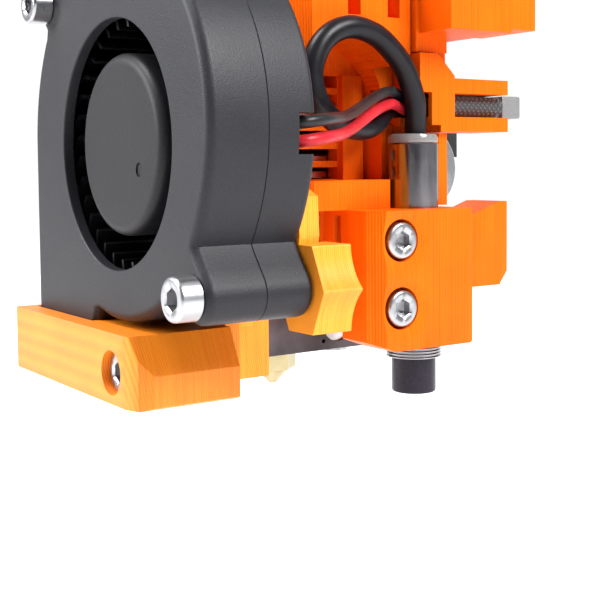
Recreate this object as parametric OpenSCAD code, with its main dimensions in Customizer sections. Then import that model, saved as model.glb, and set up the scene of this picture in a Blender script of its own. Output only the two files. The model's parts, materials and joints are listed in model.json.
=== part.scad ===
// Hotend assembly of a 3-D printer: carriage, hotend, two fans, air duct and levelling probe.
// Millimetres, +Z up, +X to the right, -Y to the front.
// The origin is the centre of the lower rod bearing, on the rod's axis.

/* [Hotend] */
// Distance of the nozzle axis in front of the rods
hot_y = -23.5; // [-26:0.5:-22.5]
// Height of the nozzle's tip
tip_z = -35.8; // [-37:0.1:-35]
// Radius of the heat sink's fins
fin_r = 11.15; // [10:0.05:11.2]
// Number of cooling fins
fin_count = 11; // [8:1:12]
// Diameter of the filament
filament_d = 1.75; // [1.75:0.05:2]

/* [Probe] */
// Probe axis, to the right of the nozzle
probe_x = 22; // [21.5:0.1:22.5]
// Probe axis, in front of the rods
probe_y = -10.9; // [-11.2:0.1:-10.8]
// Radius of the probe's tube
probe_r = 4.0; // [3.8:0.05:4.0]
// Height of the sensing tip above the nozzle's tip
probe_lift = 0.7; // [0.4:0.1:1.5]
// Radius of the probe's cable
cable_r = 1.7; // [1.4:0.1:1.7]

/* [Blower] */
// Blower axis, to the right of the nozzle
blower_x = 21.5; // [21:0.1:22]
// Height of the blower's axis
blower_z = 3.8; // [3.4:0.1:4.2]
// Front face of the blower
blower_front = -62; // [-62.2:0.1:-61.8]
// Depth of the blower
blower_depth = 15; // [14.9:0.1:15.1]
// Radius of the air inlet
inlet_r = 16.6; // [15.5:0.1:17]
// Number of impeller blades
blade_count = 33; // [24:1:36]

/* [Hotend fan] */
// Side of the square hotend fan
fan_size = 30; // [29.5:0.1:30]
// Depth of the hotend fan
fan_depth = 10; // [9:0.5:10]

/* [Rods] */
// Radius of the guide rods
rod_r = 4; // [3.9:0.05:4.05]
// Height of the upper rod above the lower one
rod_gap = 45; // [44.5:0.5:45.5]
// Outer radius of a linear bearing
bearing_r = 7.5; // [7.3:0.1:7.5]
// Length of a linear bearing
bearing_l = 24; // [23:0.5:24]

/* [Hidden] */
$fn = 64;

orange = [0.98, 0.45, 0.07];
amber = [0.97, 0.72, 0.25];
steel = [0.72, 0.72, 0.74];
dark = [0.33, 0.33, 0.35];
black = [0.08, 0.08, 0.09];

// Clearance between pieces that only pass each other
gap = 0.15;
// Small overrun that lets a cut break through a face
eps = 0.1;

// Cap screws of 3 mm: shank, head, socket, clearance hole and nut
shank_r = 1.48;
head_r = 2.75;
head_h = 3;
socket_af = 2.5;
hole_r = 1.6;
tapped_r = 1.5;
nut_af = 5.5;
nut_h = 2.4;

// Levels of the hotend, worked out from the nozzle's tip
cone_h = 2.5;
hex_h = 3;
block_z0 = tip_z + cone_h + hex_h + 0.5;
block_h = 11.5;
block_z1 = block_z0 + block_h;
sink_z0 = block_z1 + 2.1;
fins_h = 26;
sink_h = 42.7;
sink_z1 = sink_z0 + sink_h;
groove_z0 = sink_z1 - 9.7;
groove_z1 = sink_z1 - 3.7;
collar_r = 8;
groove_r = 6;
collar_z0 = groove_z0 - 3;

// Heater block and the pieces in it
block_x = 16;
block_y = 23;
block_front = hot_y - 8;
heater_y = hot_y + 8;
heater_z = block_z0 + 4.3;
heater_r = 3;
thermistor_y = hot_y - 5;
thermistor_z = block_z0 + 8.3;
thermistor_r = 1.5;
thread_r = 2.95;
pin_hole_r = 0.35;

// Printed body around the heat sink
body_left = -14;
body_right = 16;
wall_right = 22;
body_front = -40.8;
body_back = -11.3;
body_z0 = -17.5;
body_z1 = 32;
cavity_r = fin_r + 0.25;
cavity_z1 = sink_z0 + fins_h + 1;
sill_z0 = -6;
sill_z1 = -1.5;
arch_r = 9.7;
arch_z = 10.5;
arch_floor = 13;
split_gap = 0.05;
cover_t = 3;
drive_r = 1.25;
rib_t = 1.2;

// Probe clamp block
clamp_right = 29.2;
clamp_left = 13.05;
clamp_front = -24.2;
clamp_back = -4.7;
clamp_z0 = -27.2;
clamp_z1 = sill_z0;
clamp_screw_y = -18.8;
clamp_screw_z = [-10.5, -20.7];
clamp_screw_l = 10;
nut_x = 16;
// The corner under the clamp nuts is cut off, up to this place along Y
clamp_corner = -16.5;

// Probe levels
ptip_z0 = tip_z + probe_lift;
ptip_z1 = ptip_z0 + 5.5;
ring_z1 = ptip_z1 + 1.9;
tube_z1 = 4.2;
cap_z1 = 5.6;

// Slots that let the warm air out
slot_pitch = 2.9;
low_slot_pitch = 2.2;
low_slot_z = -11.4;

// Screw places, each along X and Z
carriage_screw_places = [[-9.6, -13], [9.6, -13], [-9.6, 29.4], [9.6, 29.4]];
cover_screw_places = [[-12, 12.5], [9.8, 12.5], [-10.5, 29], [9, 29]];
bracket_screw_places = [[-3, 9.5], [11.4, -3]];
belt_screw_places = [[-8.5, 14.6], [3.5, 14.6]];

// Ties around the bearings: place along X and height of the rod
tie_places = [[-6, 0], [6, 0], [-17, rod_gap], [-7, rod_gap], [7, rod_gap], [17, rod_gap]];
tie_w = 3.6;
tie_t = 1.2;

// Carriage plate
plate_front = -11;
plate_back = -4.6;
plate_left = -24;
plate_right = 23;
plate_z0 = -19.2;
plate_low = -17.6;
plate_z1 = 54;
seat_r = bearing_r + 2.5;

// Blower outline: a spiral around its own centre, with a straight outlet on the left
blower_back = blower_front + blower_depth;
blower_seam = blower_front + 8;
volute_z = blower_z + 1.2;
outlet_x0 = -6.4;
outlet_x1 = 14.1;
outlet_z0 = -23;
shell_t = 1.5;
spiral_r = 25.7;
spiral_rise = 0.0122;
spiral_start = -107;
ear_r = 3.4;
ear_low = [43, -14.5];
ear_high = [-0.4, 24.7];
ear_root_low = [37.5, -7.4];
ear_root_high = [8, 18];
hub_r = 12.1;
blade_in = 15.6;
blade_out = 20.2;
shaft_r = 0.8;
shaft_fit = 0.05;

// Bracket that carries the blower
bracket_front = blower_back + 0.1;
bracket_back = -43.9;
boss_back = -41;
blower_screw_l = 20.6;

// Hotend fan
fan_y = -26.6;
fan_z = -3.2;
fan_right = body_left - 0.1;
fan_left = fan_right - fan_depth;
fan_bore = 14.2;
fan_hole = 12;

// Air duct
duct_front = -65;
duct_end = -50;
duct_left = -7.8;
duct_right = 33.5;
duct_z0 = -29.6;
duct_z1 = -20.3;
duct_waist = -25.2;
duct_screw_x = 26.2;
duct_screw_z = -25.5;
duct_screw_l = 13.3;
lug_left = 22.7;
lug_front = duct_end + 0.2;
lug_back = duct_end + 2.4;
tip_right = 22;
tip_top = -21.4;

// Cable guide
guide_x0 = 14.6;
guide_x1 = 24;
guide_screw = [11, 13];
channel_z0 = 8.3;
channel_z1 = 12.05;
guide_z0 = 5.9;
guide_z1 = 18.2;
guide_back = -3.8;
bar_end = 7.9;

// Route of the probe's cable: up from the cap, over, round and back into the sleeve
cable_route = [
    [22.2, -10.6, 4.9], [22.3, -10.6, 6.4], [22.7, -10.9, 8.4], [23.5, -11.8, 11.2], [24.5, -14.5, 15.3],
    [25.1, -17.6, 18.1], [25.6, -21.2, 20.2], [26, -25.6, 21], [26, -29.2, 20],
    [26, -31.8, 17.5], [26, -33, 13.8], [26, -32, 10.2], [25.4, -29.3, 7.7],
    [24.6, -25.5, 6.4], [23.2, -21.2, 6.3], [20.8, -17, 7.5], [18.6, -13.8, 9.3], [17.6, -10.9, 10.1],
    [17.3, -8, 10.15]
];
// Routes of the blower's two wires, from the notch in its rear shell to the sleeve
wire_r = 0.8;
black_route = [
    [43.2, -48.3, 5.9], [44.6, -46.6, 6.2], [44, -43.4, 6.6], [41, -39.4, 6.9], [37.4, -36, 7.2],
    [34, -32, 7.9], [31, -28, 9], [28.4, -24, 10.4], [26, -20, 11.5], [23.6, -16.4, 12],
    [21.2, -13.2, 11.8], [20.4, -10.8, 11], [20.3, -8, 11]
];
red_route = [
    [43.2, -48.3, 3.7], [44.6, -46.6, 3.9], [44, -43.4, 4.3], [41.4, -39.6, 4.7], [37.8, -36, 5.1],
    [34.4, -32, 5.9], [31.2, -28, 7], [28.6, -24, 8.4], [26, -20, 9.5], [23.6, -16.4, 10.1],
    [21.2, -13.2, 9.9], [20.4, -10.8, 9.3], [20.5, -8, 9.2]
];

// ---------- helpers ----------

module box(a, b) {
    translate([min(a.x, b.x), min(a.y, b.y), min(a.z, b.z)])
        cube([abs(b.x - a.x), abs(b.y - a.y), abs(b.z - a.z)]);
}

// A cylinder from one coordinate to another along X, Y or Z
module rod_x(r, x0, x1, y, z) {
    translate([x0, y, z]) rotate([0, 90, 0]) cylinder(r = r, h = x1 - x0);
}

module rod_y(r, y0, y1, x, z) {
    translate([x, y1, z]) rotate([90, 0, 0]) cylinder(r = r, h = y1 - y0);
}

module rod_z(r, z0, z1, x = 0, y = 0) {
    translate([x, y, z0]) cylinder(r = r, h = z1 - z0);
}

// A prism of an outline drawn in X and Z, from y0 back to y1
module prism_y(y0, y1) {
    translate([0, y1, 0]) rotate([90, 0, 0]) linear_extrude(y1 - y0) children();
}

// A prism of an outline drawn in X and Y, from z0 up to z1
module prism_z(z0, z1) {
    translate([0, 0, z0]) linear_extrude(z1 - z0) children();
}

// Hexagonal prism of a given width across flats, standing on z = 0
module hex(af, h) {
    cylinder(r = af / sqrt(3), h = h, $fn = 6);
}

// Cap screw with its head's seat on z = 0 and its shank going down
module cap_screw(l) {
    difference() {
        union() {
            cylinder(r = head_r, h = head_h);
            translate([0, 0, -l]) cylinder(r = shank_r, h = l);
        }
        translate([0, 0, head_h - 1.6]) hex(socket_af, 2);
    }
}

// Hexagonal nut standing on z = 0
module nut() {
    difference() {
        hex(nut_af, nut_h);
        translate([0, 0, -eps]) cylinder(r = shank_r + 0.02, h = nut_h + 2 * eps);
    }
}

// Smooth curve through a route: each stretch is cut in two
function catmull(a, b, c, d, t) =
    0.5 * (2 * b + (c - a) * t + (2 * a - 5 * b + 4 * c - d) * t * t + (3 * b - a - 3 * c + d) * t * t * t);

function smooth(p) = [
    for (i = [0 : len(p) - 2]) for (t = [0, 0.5])
        catmull(p[max(i - 1, 0)], p[i], p[i + 1], p[min(i + 2, len(p) - 1)], t),
    p[len(p) - 1]
];

function unit(v) = v / norm(v);

function tangent(p, i) = unit(p[min(i + 1, len(p) - 1)] - p[max(i - 1, 0)]);

// Side directions carried along the route without twist
function sides(p, i = 0, last = [0.3, 0.9, 0.2], out = []) =
    i == len(p) ? out :
    let (t = tangent(p, i), n = unit(last - (last * t) * t))
    sides(p, i + 1, n, concat(out, [n]));

// Tube of radius r swept along a route with n sides
module tube(route, r, n = 8) {
    p = smooth(route);
    s = sides(p);
    m = len(p);
    points = [
        for (i = [0 : m - 1]) let (t = tangent(p, i), u = s[i], v = cross(t, u))
            for (k = [0 : n - 1]) p[i] + r * (cos(360 * k / n) * u + sin(360 * k / n) * v)
    ];
    walls = [
        for (i = [0 : m - 2]) for (k = [0 : n - 1])
            let (a = i * n + k, b = i * n + (k + 1) % n)
            each [[a, a + n, b + n], [a, b + n, b]]
    ];
    ends = [[for (k = [0 : n - 1]) k], [for (k = [n - 1 : -1 : 0]) (m - 1) * n + k]];
    polyhedron(points, concat(walls, ends), convexity = 10);
}

// ---------- carriage ----------

module carriage_outline() {
    inner = clamp_left - gap;
    polygon([
        [plate_left, -12], [plate_left + 8, plate_low], [inner, plate_low], [inner, sill_z0 + 0.3],
        [plate_right, sill_z0 + 0.3], [plate_right, plate_z1 - 6], [plate_right - 6, plate_z1],
        [plate_left + 6, plate_z1], [plate_left, plate_z1 - 6]
    ]);
}

module bearing_seat(x0, x1, z) {
    intersection() {
        rod_x(seat_r, x0, x1, 0, z);
        box([x0, -seat_r, z - seat_r], [x1, 0, z + seat_r]);
    }
}

module carriage() {
    lower_seat = bearing_l / 2 + 1.4;
    upper_seat = bearing_l;
    color(orange) difference() {
        union() {
            prism_y(plate_front, plate_back) carriage_outline();
            bearing_seat(-lower_seat, lower_seat, 0);
            bearing_seat(-upper_seat, upper_seat, rod_gap);
            // Arm and lug under the lower rod
            box([-6, plate_back - eps, plate_z0], [12, 7.7, -16.2]);
            box([11, -4.4, plate_z0], [guide_x1, 6, -16.2]);
            translate([16, 0, 0]) rotate([90, 0, 90]) linear_extrude(guide_x1 - 16)
                polygon([
                    [-4.4, plate_z0], [-4.4, -7.6], [0.5, -7.2], [6, -5.4], [7.7, -5.4], [7.7, -17],
                    [6, plate_z0]
                ]);
            // Block above the cable guide, with a step to the right
            box([12.6, -10.2, 21.3], [30.3, 2.4, 34]);
            box([18, 2.3, 21.9], [30.3, 7.7, 34]);
        }
        rod_x(bearing_r + 0.02, -bearing_l / 2 - 0.05, bearing_l / 2 + 0.05, 0, 0);
        rod_x(bearing_r + 0.02, -upper_seat - eps, upper_seat + eps, 0, rod_gap);
        rod_x(rod_r + 0.5, -lower_seat - eps, lower_seat + eps, 0, 0);
        // Room for the probe's clamp, the probe, the cable guide and the ties
        box([clamp_left - gap, plate_front, clamp_z0], [lower_seat + eps, clamp_back + 0.3, clamp_z1 + 0.3]);
        rod_z(probe_r + 0.6, sill_z0, guide_z0, probe_x, probe_y);
        box(
            [guide_x0 - 0.2, plate_front - eps, guide_z0 - 0.2],
            [plate_right + eps, plate_back + eps, guide_z1 + 0.2]
        );
        for (t = tie_places) tie_groove(t);
        for (s = carriage_screw_places) rod_y(hole_r, plate_front - eps, plate_back + eps, s[0], s[1]);
        for (s = belt_screw_places) rod_y(tapped_r, plate_front - eps, plate_back + eps, s[0], s[1]);
        rod_y(tapped_r, plate_front - eps, plate_back + eps, guide_screw[0], guide_screw[1]);
    }
}

module tie_groove(t) {
    w = tie_w + 0.4;
    difference() {
        rod_x(bearing_r + tie_t + 0.2, t[0] - w / 2, t[0] + w / 2, 0, t[1]);
        rod_x(bearing_r - eps, t[0] - w, t[0] + w, 0, t[1]);
    }
}

module bearing_ties() {
    color(black) for (t = tie_places) difference() {
        union() {
            rod_x(bearing_r + 0.05 + tie_t, t[0] - tie_w / 2, t[0] + tie_w / 2, 0, t[1]);
            box([t[0] - 2.6, 6, t[1] + 2], [t[0] + 2.6, 10.6, t[1] + 6.4]);
        }
        rod_x(bearing_r + 0.05, t[0] - 4, t[0] + 4, 0, t[1]);
    }
}

module linear_bearing(x, z) {
    color(steel) translate([x - bearing_l / 2, 0, z]) rotate([90, 0, 90]) rotate_extrude() polygon([
        [rod_r, 0], [bearing_r - 0.4, 0], [bearing_r, 0.4], [bearing_r, 3.2], [bearing_r - 0.4, 3.2],
        [bearing_r - 0.4, 4.3], [bearing_r, 4.3], [bearing_r, bearing_l - 4.3],
        [bearing_r - 0.4, bearing_l - 4.3], [bearing_r - 0.4, bearing_l - 3.2],
        [bearing_r, bearing_l - 3.2], [bearing_r, bearing_l - 0.4],
        [bearing_r - 0.4, bearing_l], [rod_r, bearing_l]
    ]);
}

module lower_bearing() {
    linear_bearing(0, 0);
}

module upper_bearings() {
    for (x = [-12.1, 12.1]) linear_bearing(x, rod_gap);
}

module carriage_screws() {
    color(steel) for (s = carriage_screw_places)
        translate([s[0], plate_back, s[1]]) rotate([-90, 0, 0]) cap_screw(9.5);
}

module belt_clamp() {
    slot_z = 18;
    top = 25;
    color(orange) difference() {
        box([-12, plate_back, 11.5], [12, 5, top]);
        // Room for the cable guide's flange and its screw
        box([7.4, plate_back - eps, 11], [12 + eps, plate_back + 6, 16.6]);
        // Slot for the toothed belt
        box([-13, -1.6, slot_z], [13, 0, top + eps]);
        for (x = [-10 : 2 : 10]) box([x - 0.5, -2.2, slot_z], [x + 0.5, -1.5, top + eps]);
        for (s = belt_screw_places) rod_y(hole_r, plate_back - eps, 5 + eps, s[0], s[1]);
    }
}

module belt_screws() {
    color(steel) for (s = belt_screw_places)
        translate([s[0], 5, s[1]]) rotate([-90, 0, 0]) cap_screw(15);
}

module cable_guide() {
    color(orange) difference() {
        union() {
            translate([guide_x0, 0, 0]) rotate([90, 0, 90]) linear_extrude(guide_x1 - guide_x0)
                polygon([
                    [plate_front, guide_z0], [guide_back, guide_z0], [guide_back, guide_z1 - 3.4],
                    [guide_back - 3.5, guide_z1], [plate_front, guide_z1]
                ]);
            for (z = [[6, channel_z0], [channel_z1, 14.4]])
                box([guide_x0 + 0.5, guide_back - eps, z[0]], [guide_x1, bar_end, z[1]]);
            // Flange screwed to the back of the carriage plate
            box([7.6, plate_back, 10.1], [guide_x0 + eps, plate_back + 2.5, 16.4]);
        }
        // Channel for the cables, open at the front on the right
        box([guide_x0 + 0.8, plate_front - eps, channel_z0], [guide_x1 - 0.9, guide_back + eps, channel_z1]);
        box([19, plate_front - eps, 6.9], [guide_x1 + eps, -8.6, 12.1]);
        rod_z(probe_r + 0.6, guide_z0 - eps, guide_z0 + 1.1, probe_x, probe_y);
        rod_y(hole_r, plate_back - eps, plate_back + 3, guide_screw[0], guide_screw[1]);
    }
}

module guide_screw() {
    color(steel) translate([guide_screw[0], plate_back + 2.5, guide_screw[1]])
        rotate([-90, 0, 0]) cap_screw(7);
}

// ---------- hotend body ----------

module arch_cut(x0, x1) {
    translate([x0, 0, 0]) rotate([90, 0, 90]) linear_extrude(x1 - x0) union() {
        translate([hot_y, arch_z]) circle(r = arch_r);
        translate([hot_y - arch_r, sill_z1]) square([2 * arch_r, arch_z - sill_z1]);
    }
}

module clamp_block() {
    intersection() {
        prism_y(clamp_front, clamp_back) polygon([
            [clamp_left, clamp_z1], [clamp_left, clamp_z0 + 3.8], [clamp_left + 5, clamp_z0],
            [clamp_right, clamp_z0], [clamp_right, clamp_z1]
        ]);
        prism_z(clamp_z0 - 1, clamp_z1 + 1) polygon([
            [clamp_left, clamp_front], [clamp_right - 2.6, clamp_front], [clamp_right, clamp_front + 2.2],
            [clamp_right, clamp_back], [clamp_left, clamp_back]
        ]);
        translate([clamp_left, 0, 0]) rotate([90, 0, 90]) linear_extrude(clamp_right - clamp_left) polygon([
            [clamp_front, clamp_z1], [clamp_front, clamp_z0 + 1.6], [clamp_front + 4.2, clamp_z0],
            [clamp_back, clamp_z0], [clamp_back, clamp_z1]
        ]);
    }
}

module clamp_screw_cut(z) {
    rod_x(hole_r, nut_x - 1, clamp_right, clamp_screw_y, z);
    rod_x(3.2, clamp_right - head_h, clamp_right + eps, clamp_screw_y, z);
    translate([clamp_right - 0.5, clamp_screw_y, z]) rotate([0, 90, 0]) cylinder(r1 = 3.2, r2 = 5, h = 0.51);
    translate([nut_x, clamp_screw_y, z]) rotate([0, 90, 0]) hex(nut_af + 0.2, nut_h + 0.1);
}

// The whole body; it is made as two pieces that meet at the floor of the air arch
module body_shape() {
    difference() {
        union() {
            box([body_left, body_front, body_z0], [body_right, body_back, sill_z0]);
            prism_z(sill_z0, body_z1) polygon([
                [body_left, body_front], [11.2, body_front], [wall_right, -30], [wall_right, body_back],
                [body_left, body_back]
            ]);
            clamp_block();
        }
        // Heat sink chamber, open to the front and below
        rod_z(cavity_r, body_z0 - eps, cavity_z1, 0, hot_y);
        box([-cavity_r, body_front - eps, body_z0 - eps], [cavity_r, hot_y, cavity_z1]);
        // Neck, collars and groove
        for (c = [[cavity_z1 - eps, groove_z0], [groove_z1, sink_z1 + gap]]) {
            rod_z(collar_r + 0.1, c[0], c[1], 0, hot_y);
            box([-collar_r - 0.1, body_front - eps, c[0]], [collar_r + 0.1, hot_y, c[1]]);
        }
        rod_z(groove_r + 0.1, groove_z0 - eps, groove_z1 + eps, 0, hot_y);
        box([-collar_r - 0.1, body_front - eps, groove_z0 - eps], [collar_r + 0.1, hot_y, groove_z1 + eps]);
        rod_z(4.6, sink_z1, body_z1 + eps, 0, hot_y);
        // Opening for the hotend fan
        rod_x(13.4, body_left - eps, -5, fan_y, fan_z);
        for (y = [-fan_hole, fan_hole]) for (z = [-fan_hole, fan_hole])
            rod_x(tapped_r, body_left - eps, -11, fan_y + y, fan_z + z);
        // Air arch on the right, with its exhaust slots
        arch_cut(arch_floor, wall_right + eps);
        for (i = [0 : 5]) box(
            [9, -29.2, sill_z1 + 0.1 + i * slot_pitch], [arch_floor + eps, -19, sill_z1 + 2 + i * slot_pitch]
        );
        for (i = [0 : 2]) box(
            [10, -30, low_slot_z + i * low_slot_pitch],
            [body_right + 1, -24.7, min(low_slot_z + 1.5 + i * low_slot_pitch, sill_z0)]
        );
        for (y = [-23.4, -15.8]) box([19, y, 23.5], [wall_right + eps, y + 2.4, 30]);
        // Column for the probe and its cable
        box([17.8, -15.5, sill_z0], [wall_right + eps, body_back + eps, 18]);
        rod_z(probe_r + 0.6, clamp_z1, 18, probe_x, probe_y);
        box([15.2, -15.5, 7.2], [wall_right + eps, body_back + eps, 12.8]);
        rod_z(probe_r + 0.05, clamp_z0 - eps, clamp_z1 + eps, probe_x, probe_y);
        // Clamp slit, screws and nuts
        box([19, clamp_front - eps, clamp_z0 - eps], [20.7, -13.2, -6.9]);
        for (z = clamp_screw_z) clamp_screw_cut(z);
        prism_y(clamp_front - eps, clamp_corner) polygon([
            [clamp_left - eps, clamp_z0 + 7.8], [clamp_left + 8.5, clamp_z0 - eps],
            [clamp_left - eps, clamp_z0 - eps]
        ]);
        // Slot from below, through which the nuts slide in
        box(
            [nut_x, clamp_screw_y - 2.85, clamp_z0 - eps],
            [nut_x + nut_h + 0.1, clamp_screw_y + 2.85, clamp_screw_z[0]]
        );
        // Front cover and carriage screws
        for (s = cover_screw_places) rod_y(tapped_r, body_front - eps, body_front + 9, s[0], s[1]);
        for (s = carriage_screw_places) rod_y(tapped_r, body_back - 3.6, body_back + eps, s[0], s[1]);
        // Four holes on top for the filament drive
        for (x = [-10, 10]) for (y = [-6, 6]) rod_z(drive_r, body_z1 - 6, body_z1 + eps, x, hot_y + y);
    }
}

module hotend_body() {
    color(orange) difference() {
        body_shape();
        box([arch_floor, body_front - 1, clamp_z0 - 1], [clamp_right + 1, 0, body_z1 + 1]);
    }
}

module probe_holder() {
    color(orange) {
        difference() {
            body_shape();
            box([body_left - 1, body_front - 1, clamp_z0 - 1], [arch_floor + split_gap, 0, body_z1 + 1]);
        }
        // Rib between the exhaust slots and the rear of the arch
        box([arch_floor + split_gap, -18.8, sill_z1 - eps], [arch_floor + rib_t, -14.8, 15]);
    }
}

module front_cover() {
    color(orange) difference() {
        prism_y(body_front - cover_t, body_front) polygon([
            [body_left, body_z0], [13.5, body_z0], [13.5, body_z1 - 3], [10.5, body_z1],
            [body_left + 3, body_z1], [body_left, body_z1 - 3]
        ]);
        for (s = cover_screw_places) rod_y(hole_r, body_front - cover_t - eps, body_front + eps, s[0], s[1]);
        for (z = [-14 : 3 : 4]) box([-9, body_front - cover_t - eps, z], [9, body_front + eps, z + 1.4]);
        // Window for the blower's upper standoff and its nut
        box(
            [ear_high[0] - 5.4, body_front - cover_t - eps, ear_high[1] - 5.8],
            [ear_high[0] + 5.4, body_front + eps, ear_high[1] + 5.8]
        );
        for (s = bracket_screw_places)
            rod_y(tapped_r, body_front - cover_t - eps, body_front + eps, s[0], s[1]);
    }
}

module cover_screws() {
    color(steel) for (s = cover_screw_places)
        translate([s[0], body_front - cover_t, s[1]]) rotate([90, 0, 0]) cap_screw(11);
}

module groove_clamp() {
    color(orange) difference() {
        box([-collar_r, body_front, cavity_z1 + gap], [collar_r, hot_y - 0.3, sink_z1]);
        rod_z(collar_r + 0.1, cavity_z1, groove_z0 + 0.02, 0, hot_y);
        rod_z(collar_r + 0.1, groove_z1 - 0.02, sink_z1 + eps, 0, hot_y);
        rod_z(groove_r + 0.05, groove_z0, groove_z1, 0, hot_y);
    }
}

// ---------- hotend ----------

module heat_sink() {
    fin_pitch = fins_h / (fin_count - 0.6);
    color(steel) translate([0, hot_y, 0]) difference() {
        union() {
            for (i = [0 : fin_count - 1]) rod_z(fin_r, sink_z0 + i * fin_pitch, sink_z0 + i * fin_pitch + 1);
            rod_z(6.5, sink_z0, sink_z0 + 10);
            rod_z(5.2, sink_z0 + 9, sink_z0 + fins_h);
            rod_z(4.4, sink_z0 + fins_h - 1, collar_z0 + eps);
            rod_z(collar_r, collar_z0 - 2.5, collar_z0 - 1.5);
            rod_z(collar_r, collar_z0, groove_z0);
            rod_z(groove_r, groove_z0 - eps, groove_z1 + eps);
            rod_z(collar_r, groove_z1, sink_z1);
        }
        rod_z(3.5, sink_z0 - eps, sink_z0 + 10);
        rod_z(2.1, sink_z0, sink_z1 + eps);
        rod_z(3.9, sink_z1 - 6, sink_z1 + eps);
    }
}

module heat_break() {
    color(steel) translate([0, hot_y, 0]) difference() {
        union() {
            rod_z(thread_r, block_z1 - 5, block_z1 + eps);
            rod_z(1.7, block_z1, sink_z0 + eps);
            rod_z(3.45, sink_z0, sink_z0 + 9.9);
        }
        rod_z(1, block_z1 - 5 - eps, sink_z0 + 10);
        rod_z(2.05, sink_z0 + 2, sink_z0 + 10);
    }
}

module liner_collet() {
    color(black) translate([0, hot_y, 0]) difference() {
        union() {
            rod_z(3.85, sink_z1 - 5.9, sink_z1 + 0.8);
            rod_z(4.3, sink_z1 + 0.8, sink_z1 + 1.8);
        }
        rod_z(2.03, sink_z1 - 6, sink_z1 + 2);
    }
}

module filament_liner() {
    color("white") translate([0, hot_y, 0]) difference() {
        rod_z(2, sink_z0 + 2.1, body_z1 + 4);
        rod_z(filament_d / 2 + 0.125, sink_z0 + 2, body_z1 + 5);
    }
}

module heater_block() {
    color(steel) difference() {
        box([-block_x / 2, block_front, block_z0], [block_x / 2, block_front + block_y, block_z1]);
        rod_z(3, block_z0 - eps, block_z1 + eps, 0, hot_y);
        rod_x(heater_r + 0.03, -9, 9, heater_y, heater_z);
        rod_x(thermistor_r + 0.03, -9, 9, thermistor_y, thermistor_z);
        // Saw cut that lets the block close on the heater
        box([-9, heater_y, heater_z - 0.4], [9, block_front + block_y + eps, heater_z + 0.4]);
        rod_z(1.25, block_z0 - eps, heater_z, 0, heater_y + 5);
        rod_z(1.25, thermistor_z + 1, block_z1 + eps, 3.5, thermistor_y);
        rod_x(pin_hole_r, block_x / 2 - 2, 9, heater_y - 3, block_z0 + 1.5);
    }
}

module nozzle() {
    color("goldenrod") translate([0, hot_y, 0]) difference() {
        union() {
            rod_z(thread_r, block_z0 - 0.6, block_z0 + 6);
            translate([0, 0, tip_z + cone_h]) rotate([0, 0, 6.7]) hex(7, hex_h);
            translate([0, 0, tip_z]) cylinder(r1 = 0.65, r2 = 2.9, h = cone_h + 0.01);
        }
        rod_z(1, tip_z + 1.6, block_z0 + 6.1);
        rod_z(0.2, tip_z - eps, tip_z + 2);
    }
}

module heater_cartridge() {
    color("silver") rod_x(heater_r, -11.4, block_x / 2 - 0.5, heater_y, heater_z);
}

module thermistor_cartridge() {
    color("silver") rod_x(thermistor_r, -10, 7, thermistor_y, thermistor_z);
}

module block_screws() {
    color(steel) {
        translate([0, heater_y + 5, block_z0]) rotate([180, 0, 0]) difference() {
            union() {
                cylinder(r = 2.2, h = 1.6);
                translate([0, 0, -3.8]) cylinder(r = 1.2, h = 3.9);
            }
            translate([0, 0, 0.6]) hex(2, 2);
        }
        rod_z(1.2, thermistor_z + thermistor_r + 0.05, block_z1 - 0.2, 3.5, thermistor_y);
    }
}

// ---------- hotend fan ----------

module hotend_fan_frame() {
    h = fan_size / 2;
    color(black) translate([0, fan_y, fan_z]) {
        difference() {
            box([fan_left, -h, -h], [fan_right, h, h]);
            rod_x(fan_bore, fan_left - eps, fan_right + eps, 0, 0);
            for (y = [-fan_hole, fan_hole]) for (z = [-fan_hole, fan_hole])
                rod_x(hole_r, fan_left - eps, fan_right + eps, y, z);
        }
        // Motor plate on four struts, with the bearing sleeve
        difference() {
            union() {
                rod_x(8, fan_right - 1.6, fan_right, 0, 0);
                for (a = [45, 135, 225, 315]) rotate([a, 0, 0])
                    box([fan_right - 1.6, -0.9, 7], [fan_right, 0.9, fan_bore + 0.8]);
                rod_x(1.9, fan_left + 2.5, fan_right - 1, 0, 0);
            }
            rod_x(shaft_r + shaft_fit, fan_left + 2, fan_right - 0.8, 0, 0);
        }
    }
}

module hotend_fan_impeller() {
    color(black) translate([0, fan_y, fan_z]) {
        difference() {
            rod_x(7.6, fan_left + 0.4, fan_right - 2.1, 0, 0);
            rod_x(6.6, fan_left + 1.6, fan_right, 0, 0);
        }
        rod_x(shaft_r, fan_left + 1, fan_right - 2, 0, 0);
        for (i = [0 : 6]) rotate([i * 360 / 7, 0, 0]) intersection() {
            translate([fan_left + 4, 0, 10.4]) rotate([0, 0, 38]) cube([1, 8.2, 6.6], center = true);
            rod_x(13.7, fan_left + 0.4, fan_right - 2.1, 0, 0);
        }
    }
}

module hotend_fan_screws() {
    color(steel) for (y = [-fan_hole, fan_hole]) for (z = [-fan_hole, fan_hole])
        translate([fan_left, fan_y + y, fan_z + z]) rotate([0, -90, 0]) cap_screw(12);
}

// ---------- blower ----------

function spiral_point(a, inset) =
    let (r = spiral_r + spiral_rise * a - inset)
    [blower_x + r * cos(a), volute_z + r * sin(a)];

// Outline of the case, or of its hollow when inset is the wall's thickness
module volute(inset = 0, drop = 0) {
    tongue = spiral_point(spiral_start, inset);
    polygon(concat(
        [for (a = [spiral_start : 7 : 180]) spiral_point(a, inset)],
        [
            [outlet_x0 + inset, volute_z], [outlet_x0 + inset, outlet_z0 - drop],
            [outlet_x1 - inset, outlet_z0 - drop], [outlet_x1 - inset, tongue[1]]
        ]
    ));
}

module ears(r) {
    for (e = [[ear_low, ear_root_low], [ear_high, ear_root_high]]) hull() {
        translate(e[0]) circle(r = r, $fn = 48);
        translate(e[1]) circle(r = r, $fn = 48);
    }
}

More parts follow.
